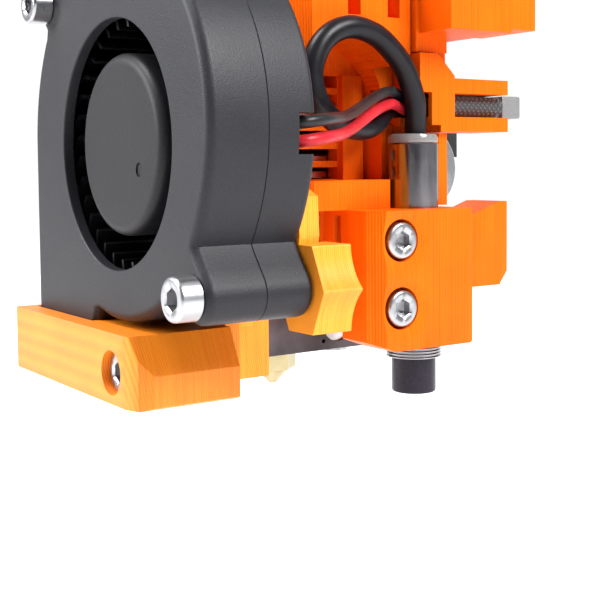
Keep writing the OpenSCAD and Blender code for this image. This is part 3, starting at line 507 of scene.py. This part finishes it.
BLOWER_X = 21.5 * MM
BLOWER_Z = 3.8 * MM
SPIRAL_Z = 5.0 * MM
BLOWER_FRONT = -62 * MM
BLOWER_SEAM = -54 * MM
BLOWER_BACK = -47 * MM
OUTLET = (-6.4 * MM, 14.1 * MM, -23 * MM)
EARS = (((43, -14.5), (37.5, -7.4)), ((-0.4, 24.7), (8, 18)))
EAR_R = 3.4 * MM
INLET_R = 16.6 * MM


def near_segment(x, z, a, b, reach):
    ax, az, bx, bz = a[0] * MM, a[1] * MM, b[0] * MM, b[1] * MM
    dx, dz = bx - ax, bz - az
    t = max(0, min(1, ((x - ax) * dx + (z - az) * dz) / (dx * dx + dz * dz)))
    return math.hypot(x - ax - t * dx, z - az - t * dz) <= reach


def in_case(x, z, ears=True):
    """Whether a point is inside the blower's outline: spiral, outlet and ears."""
    dx, dz = x - BLOWER_X, z - SPIRAL_Z
    angle = math.degrees(math.atan2(dz, dx))
    if angle > -107 and math.hypot(dx, dz) <= (25.7 + 0.0122 * angle) * MM:
        return True
    if OUTLET[0] <= x <= OUTLET[1] and OUTLET[2] <= z <= SPIRAL_Z:
        return True
    return ears and any(near_segment(x, z, a, b, EAR_R) for a, b in EARS)


def case_outline(ears=True, count=300):
    """The outline as points round its centre, found from outside in."""
    radii = []
    for k in range(count):
        angle = 2 * math.pi * k / count
        c, s = math.cos(angle), math.sin(angle)
        far, near = 0.045, 0.0
        r = far
        while r > 0 and not in_case(BLOWER_X + r * c, SPIRAL_Z + r * s, ears):
            r -= 0.0002
        near, far = r, r + 0.0002
        for _ in range(8):
            middle = (near + far) / 2
            if in_case(BLOWER_X + middle * c, SPIRAL_Z + middle * s, ears):
                near = middle
            else:
                far = middle
        radii.append(near)
    turn = [2 * math.pi * k / count for k in range(count)]
    return [Vector((BLOWER_X + r * math.cos(t), SPIRAL_Z + r * math.sin(t))) for t, r in zip(turn, radii)]


def inset(points, amount):
    """The outline moved inwards along its own normals."""
    count = len(points)
    moved = []
    for i, p in enumerate(points):
        along = (points[(i + 1) % count] - points[i - 1]).normalized()
        moved.append(p + Vector((-along.y, along.x)) * amount)
    # Points that crossed over at a corner are drawn back between their sound neighbours
    sound = [min((m - q).length for q in points) > amount * 0.97 for m in moved]
    for i in range(count):
        if not sound[i]:
            back = next(k for k in range(1, count) if sound[(i - k) % count])
            ahead = next(k for k in range(1, count) if sound[(i + k) % count])
            moved[i] = moved[(i - back) % count].lerp(moved[(i + ahead) % count], back / (back + ahead))
    return moved


def ring_at(bm, points, y):
    return [bm.verts.new((p.x, y, p.y)) for p in points]


def fill_between(bm, a, b, material=0):
    """The flat face between two outlines."""
    edges = {e for ring in (a, b) for v in ring for e in v.link_edges if e.other_vert(v) in set(ring)}
    made = bmesh.ops.triangle_fill(bm, use_beauty=True, edges=list(edges))
    for face in made["geom"]:
        if isinstance(face, bmesh.types.BMFace):
            face.material_index = material


def bridge(bm, a, b, material=0):
    for i in range(len(a)):
        n = (i + 1) % len(a)
        bm.faces.new((a[i], a[n], b[n], b[i])).material_index = int(material)


def circle_points(radius, count=300, x=BLOWER_X, z=BLOWER_Z):
    turn = [2 * math.pi * k / count for k in range(count)]
    return [Vector((x + radius * math.cos(t), z + radius * math.sin(t))) for t in turn]


def make_front_shell():
    bm = bmesh.new()
    outline = case_outline()
    hollow = inset(case_outline(ears=False), 1.5 * MM)
    edge = 1.3 * MM
    rings = [ring_at(bm, outline, BLOWER_SEAM), ring_at(bm, outline, BLOWER_FRONT + edge)]
    for step in range(1, 9):
        t = math.radians(90 * step / 8)
        rounded = inset(outline, edge * (1 - math.cos(t)))
        rings.append(ring_at(bm, rounded, BLOWER_FRONT + edge * (1 - math.sin(t))))
    lip = 0.25 * MM
    for step in range(0, 5):
        t = math.radians(90 * step / 4)
        radius = INLET_R + lip * (1 - math.sin(t))
        rings.append(ring_at(bm, circle_points(radius), BLOWER_FRONT + lip * (1 - math.cos(t))))
    inner = BLOWER_FRONT + 1.5 * MM
    rings.append(ring_at(bm, circle_points(INLET_R), inner))
    rings.append(ring_at(bm, hollow, inner))
    rings.append(ring_at(bm, hollow, BLOWER_SEAM))
    plate, floor = 9, 15
    # The floor and the rings past it take the second material, the darker case plastic: painted shade inside
    # the case.
    for k, (a, b) in enumerate(zip(rings, rings[1:])):
        if k not in (plate, floor):
            bridge(bm, a, b, k > floor)
    bridge(bm, rings[-1], rings[0])
    fill_between(bm, rings[plate], rings[plate + 1])
    fill_between(bm, rings[floor], rings[floor + 1], 1)
    piece = finish_mesh("blower_front_case", bm, M["case"], 40, M["inside"])
    adopt(piece, "root", "blower_plastic", "blower_front_shell")


def make_rear_shell():
    bm = bmesh.new()
    outline = case_outline()
    hollow = inset(case_outline(ears=False), 1.5 * MM)
    groove = 0.12 * MM
    edge = 0.9 * MM
    rings = [
        ring_at(bm, inset(outline, groove), BLOWER_SEAM),
        ring_at(bm, inset(outline, groove), BLOWER_SEAM + groove),
        ring_at(bm, outline, BLOWER_SEAM + 1.8 * groove),
        ring_at(bm, outline, BLOWER_BACK - edge),
    ]
    for step in range(1, 5):
        t = math.radians(90 * step / 4)
        rounded = inset(outline, edge * (1 - math.cos(t)))
        rings.append(ring_at(bm, rounded, BLOWER_BACK - edge * (1 - math.sin(t))))
    for a, b in zip(rings, rings[1:]):
        bridge(bm, a, b)
    centre = bm.verts.new((BLOWER_X, BLOWER_BACK, BLOWER_Z))
    last = rings[-1]
    for i in range(len(last)):
        bm.faces.new((last[i], last[(i + 1) % len(last)], centre))
    floor = ring_at(bm, hollow, BLOWER_BACK - 1.5 * MM)
    mouth = ring_at(bm, hollow, BLOWER_SEAM)
    bridge(bm, rings[0], mouth)
    # The inner walls and floor take the darker case plastic: painted shade inside the case.
    bridge(bm, mouth, floor, 1)
    middle = bm.verts.new((BLOWER_X, BLOWER_BACK - 1.5 * MM, BLOWER_Z))
    for i in range(len(floor)):
        bm.faces.new((floor[i], floor[(i + 1) % len(floor)], middle)).material_index = 1
    notch = bmesh.new()
    add_box(notch, (42.6, -49.6, 2.2), (50, -46, 7.2))
    piece = finish_mesh("blower_rear_case", combine(bm, notch), M["case"], 40, M["inside"])
    adopt(piece, "root", "blower_plastic", "blower_rear_shell")


HUB_R = 12.1 * MM
BLADE_COUNT = 33


def make_impeller():
    bm = bmesh.new()
    front = BLOWER_FRONT + 0.9 * MM
    back = BLOWER_BACK - 3.3 * MM
    depth = back - front
    to_back = facing((0, 1, 0), (BLOWER_X, front, BLOWER_Z))
    profile = [(0, 0.05 * MM), (HUB_R - 1.6 * MM, 0)]
    profile += [(r, h) for r, h in fillet(HUB_R - 1.3 * MM, 1.3 * MM, 1.3 * MM, -90, 0, 6)]
    profile += [
        (HUB_R, depth - 0.8 * MM), (20.2 * MM, depth - 0.8 * MM), (20.2 * MM, depth),
        (HUB_R - 1.2 * MM, depth), (HUB_R - 1.2 * MM, 1.4 * MM), (0, 1.4 * MM),
    ]
    add_lathe(bm, profile, to_back, 96)
    ring = [(19.3, 1.3), (20.2, 1.3), (20.2, 2.0), (19.3, 2.0), (19.3, 1.3)]
    add_lathe(bm, [(r * MM, h * MM) for r, h in ring], to_back, 96)
    mark = bmesh.new()
    add_lathe(mark, [(0, -0.5 * MM), (0.95 * MM, -0.5 * MM), (0.95 * MM, 0.22 * MM), (0, 0.22 * MM)],
              facing((0, 1, 0), (27.4 * MM, front, 0.5 * MM)), 32)
    bm = combine(bm, mark)
    middle = Vector((BLOWER_X, front, BLOWER_Z))
    for face in bm.faces:
        face.material_index = int((face.calc_center_median() - middle).length > HUB_R + 2 * MM)
    for k in range(BLADE_COUNT):
        add_blade(bm, 2 * math.pi * k / BLADE_COUNT, front + 1.3 * MM, back - 0.5 * MM)
    piece = finish_mesh("impeller", bm, M["hub"], 35, M["blade"])
    adopt(piece, "blower_rotor", "fan_plastic", "blower_impeller")


def add_blade(bm, turn, y0, y1):
    """A forward-curved blade between two radii, 0.55 mm thick, with a rounded leading end."""
    sides = []
    for side in (-1, 1):
        for i in range(6):
            t = i / 5
            radius = (15.6 + 4.5 * t) * MM
            angle = turn + math.radians(13) * t * t + math.radians(2) * t
            half = (0.16 + 0.16 * math.sin(math.pi * min(1, t + 0.2))) * MM
            angle += side * half / radius
            sides.append((radius * math.cos(angle), radius * math.sin(angle)))
    loop = sides[:6] + sides[:5:-1]
    low = [bm.verts.new((BLOWER_X + a, y0, BLOWER_Z + b)) for a, b in loop]
    high = [bm.verts.new((BLOWER_X + a, y1, BLOWER_Z + b)) for a, b in loop]
    bridge(bm, low, high, 1)
    for end in (low, high[::-1]):
        bm.faces.new(end).material_index = 1


# ---------- screws ----------


def hex_scale(angle, af, radius):
    """How far a hexagon's side is at an angle, as a share of a radius."""
    local = (angle + math.pi / 6) % (math.pi / 3) - math.pi / 6
    return (af / 2) / math.cos(local) / radius if radius else 1


def add_cap_screw(bm, seat, direction, length, segments=72):
    """A socket head cap screw: its head stands on the seat and points along the direction."""
    head, height, shank, af = 2.75 * MM, 3.0 * MM, 1.48 * MM, 2.5 * MM
    hex_r = af / math.sqrt(3)
    profile = [(0, -length), (shank - 0.3 * MM, -length), (shank, -length + 0.3 * MM), (shank, 0)]
    profile += [(head - 0.12 * MM, 0), (head, 0.12 * MM)]
    profile += fillet(head - 0.45 * MM, height - 0.45 * MM, 0.45 * MM, 0, 90, 4)
    profile += [(hex_r + 0.22 * MM, height), (hex_r, height - 0.2 * MM)]
    profile += [(hex_r, height - 1.5 * MM), (0, height - 1.8 * MM)]
    last = len(profile) - 1

    def shape(angle, index):
        return hex_scale(angle, af, hex_r) if last - 3 < index < last else 1

    add_lathe(bm, profile, facing(direction, seat), segments, shape)


def make_screws(node, places, direction, length):
    bm = bmesh.new()
    for place in places:
        add_cap_screw(bm, [v * MM for v in place], direction, length * MM)
    piece = finish_mesh(node + "_turned", bm, M["screw"], 30)
    adopt(piece, "root", slot_of(node), node)


# ---------- probe and nozzle ----------

PROBE = (22 * MM, -10.9 * MM)


def turned(name, node, profile, x, y, material, segments=96, shape=None, turn=0):
    bm = bmesh.new()
    place = Matrix.Translation((x, y, 0)) @ Matrix.Rotation(math.radians(turn), 4, "Z")
    add_lathe(bm, [(r * MM, h * MM) for r, h in profile], place, segments, shape)
    piece = finish_mesh(name, bm, M[material], 35)
    adopt(piece, "root", slot_of(node), node)


def make_probe():
    x, y = PROBE
    turned("probe_body", "probe_tube", [
        (3.5, -27.7), (3.9, -27.7), (4.0, -27.55), (4.0, 3.95), (3.85, 4.15), (3.5, 4.2), (3.5, -27.7),
    ], x, y, "chrome")
    turned("probe_end_cap", "probe_cap", [
        (0, 1.3), (3.4, 1.3), (3.4, 4.22), (3.9, 4.22), (3.95, 4.4), (3.95, 5.0), (3.7, 5.5), (3.3, 5.6),
        (0, 5.6),
    ], x, y, "clear")
    thread = [(3.1, -29.6)]
    for k in range(4):
        z = -29.6 + k * 0.475
        thread += [(4.0, z + 0.02), (4.35, z + 0.16), (4.35, z + 0.3), (4.0, z + 0.44)]
    turned("probe_thread", "probe_ring", thread + [(3.1, -27.7), (3.1, -29.6)], x, y, "chrome")
    turned("probe_sensing_end", "probe_tip", [
        (0, -35.1), (3.1, -35.1), *fillet(3.2, -34.8, 0.3, -90, 0, 4), (3.5, -29.62), (3.05, -29.6),
        (3.05, -27.9), (0, -27.9),
    ], x, y, "face")


def make_nozzle():
    hexagon = range(6, 10)
    af = 7.0
    corner = af / math.sqrt(3)

    def shape(angle, index):
        return hex_scale(angle - math.pi / 6, af, corner) if index in hexagon else 1

    profile = [
        (0, -35.0), (0.2, -35.8), (0.62, -35.8), (0.7, -35.72), (2.75, -33.6), (2.9, -33.35),
        (corner - 0.25, -33.3), (corner, -33.1), (corner, -30.5), (corner - 0.25, -30.3),
        (2.95, -30.3), (2.95, -23.8), (0, -23.8),
    ]
    turned("brass_nozzle", "nozzle", profile, 0, -23.5 * MM, "brass", 72, shape, 6.7)


# ---------- cables ----------

CABLE_ROUTE = [
    (22.2, -10.6, 4.9), (22.3, -10.6, 6.4), (22.7, -10.9, 8.4), (23.5, -11.8, 11.2), (24.5, -14.5, 15.3),
    (25.1, -17.6, 18.1), (25.6, -21.2, 20.2), (26, -25.6, 21), (26, -29.2, 20),
    (26, -31.8, 17.5), (26, -33, 13.8), (26, -32, 10.2), (25.4, -29.3, 7.7),
    (24.6, -25.5, 6.4), (23.2, -21.2, 6.3), (20.8, -17, 7.5), (18.6, -13.8, 9.3), (17.6, -10.9, 10.1),
    (17.3, -8, 10.15),
]
BLACK_ROUTE = [
    (43.2, -48.3, 5.9), (44.6, -46.6, 6.2), (44, -43.4, 6.6), (41, -39.4, 6.9), (37.4, -36, 7.2),
    (34, -32, 7.9), (31, -28, 9), (28.4, -24, 10.4), (26, -20, 11.5), (23.6, -16.4, 12),
    (21.2, -13.2, 11.8), (20.4, -10.8, 11), (20.3, -8, 11),
]
RED_ROUTE = [
    (43.2, -48.3, 3.7), (44.6, -46.6, 3.9), (44, -43.4, 4.3), (41.4, -39.6, 4.7), (37.8, -36, 5.1),
    (34.4, -32, 5.9), (31.2, -28, 7), (28.6, -24, 8.4), (26, -20, 9.5), (23.6, -16.4, 10.1),
    (21.2, -13.2, 9.9), (20.4, -10.8, 9.3), (20.5, -8, 9.2),
]


def smooth_route(route, parts=6):
    """The same smooth curve through the route's points as the CAD has, in metres."""
    p = [Vector(v) * MM for v in route]
    points = []
    for i in range(len(p) - 1):
        a, b, c, d = p[max(i - 1, 0)], p[i], p[i + 1], p[min(i + 2, len(p) - 1)]
        for k in range(parts):
            t = k / parts
            square = (2 * a - 5 * b + 4 * c - d) * t ** 2
            cube = (3 * b - a - 3 * c + d) * t ** 3
            points.append(0.5 * (2 * b + (c - a) * t + square + cube))
    return points + [p[-1]]


def make_cord(name, node, route, radius, material):
    points = smooth_route(route)
    data = bpy.data.curves.new(name, "CURVE")
    data.dimensions = "3D"
    data.bevel_depth = radius
    data.bevel_resolution = 6
    data.use_fill_caps = True
    spline = data.splines.new("POLY")
    spline.points.add(len(points) - 1)
    for target, point in zip(spline.points, points):
        target.co = (*point, 1)
    spline.use_smooth = True
    data.materials.append(M[material])
    piece = bpy.data.objects.new(name, data)
    bpy.context.scene.collection.objects.link(piece)
    adopt(piece, "root", slot_of(node), node)
    length = sum((b - a).length for a, b in zip(points, points[1:]))
    print(name, "is", round(length, 4), "m long")
    return piece


# ---------- the assembly ----------

make_camera()
probe_cable = make_cord("probe_lead", "probe_cable", CABLE_ROUTE, 1.7 * MM, "cable")
black_wire = make_cord("blower_lead_black", "blower_wire_black", BLACK_ROUTE, 0.8 * MM, "wire_black")
red_wire = make_cord("blower_lead_red", "blower_wire_red", RED_ROUTE, 0.8 * MM, "wire_red")

make_world()
make_floor(floor_material())
area_light("key", (-0.45, -0.7, 0.35), (0.01, -0.03, 0), 0.45, 8.5)
area_light("right", (0.52, 0.16, 0.46), (0.01, -0.03, 0), 0.3, 8.5)
sun_light((-0.3, -0.45, 1), 3.3)

make_front_shell()
make_rear_shell()
make_impeller()
make_probe()
make_nozzle()

make_screws("blower_screws", [(43, -62, -14.5), (-0.4, -62, 24.7)], (0, -1, 0), 20.6)
make_screws("clamp_screws", [(26.2, -18.8, -10.5), (26.2, -18.8, -20.7)], (1, 0, 0), 10)
make_screws("duct_screw", [(26.2, -61, -25.5)], (0, -1, 0), 13.3)
COVER_SCREWS = ((-12, 12.5), (9.8, 12.5), (-10.5, 29), (9, 29))
make_screws("cover_screws", [(x, -43.8, z) for x, z in COVER_SCREWS], (0, -1, 0), 11)
make_screws("carriage_screws", [(x, -4.6, z) for x in (-9.6, 9.6) for z in (-13, 29.4)], (0, 1, 0), 9.5)
make_screws("belt_screws", [(x, 5, 14.6) for x in (-8.5, 3.5)], (0, 1, 0), 15)
FAN_SCREWS = [(-24.1, -26.6 + y, -3.2 + z) for y in (-12, 12) for z in (-12, 12)]
make_screws("hotend_fan_screws", FAN_SCREWS, (-1, 0, 0), 12)

SOFTENED = {
    "carriage": (0.35, "print"), "cable_guide": (0.3, "print"),
    "belt_clamp": (0.3, "print"), "front_cover": (0.3, "print"), "groove_clamp": (0.2, "print"),
    # The duct takes the lighter copy of the orange: painted light.
    "air_duct": (0.7, "print_duct_painted_light"),
    "heater_block": (0.15, "block"), "hotend_fan_frame": (0.3, "black"), "sleeve_plug": (0.3, "grey"),
}
soften("hotend_body", 0.25 * MM, M["print"], 2, 0.0012, "probe_holder", bm=body_mesh(), rounder=clamp_corner)
# The bracket takes the lighter copy of the orange: painted light.
soften("blower_bracket", 0.4 * MM, M["print_painted_light"], bm=bracket_mesh())
for node, (width, material) in SOFTENED.items():
    soften(node, width * MM, M[material])

KEPT = {
    "guide_screw": "screw", "bracket_screws": "screw",
    "lower_bearing": "bearing", "upper_bearings": "bearing",
    "bearing_ties": "tie", "heat_sink": "sink", "heat_break": "break", "liner_collet": "black",
    "filament_liner": "ptfe", "heater_cartridge": "cartridge", "thermistor_cartridge": "cartridge",
    "block_screws": "screw", "hotend_fan_impeller": "blade",
    "blower_stator": "copper", "blower_nuts": "screw",
    "clamp_nuts": "screw", "cable_sleeve": "braid",
}
for node, material in KEPT.items():
    keep(node, M[material])
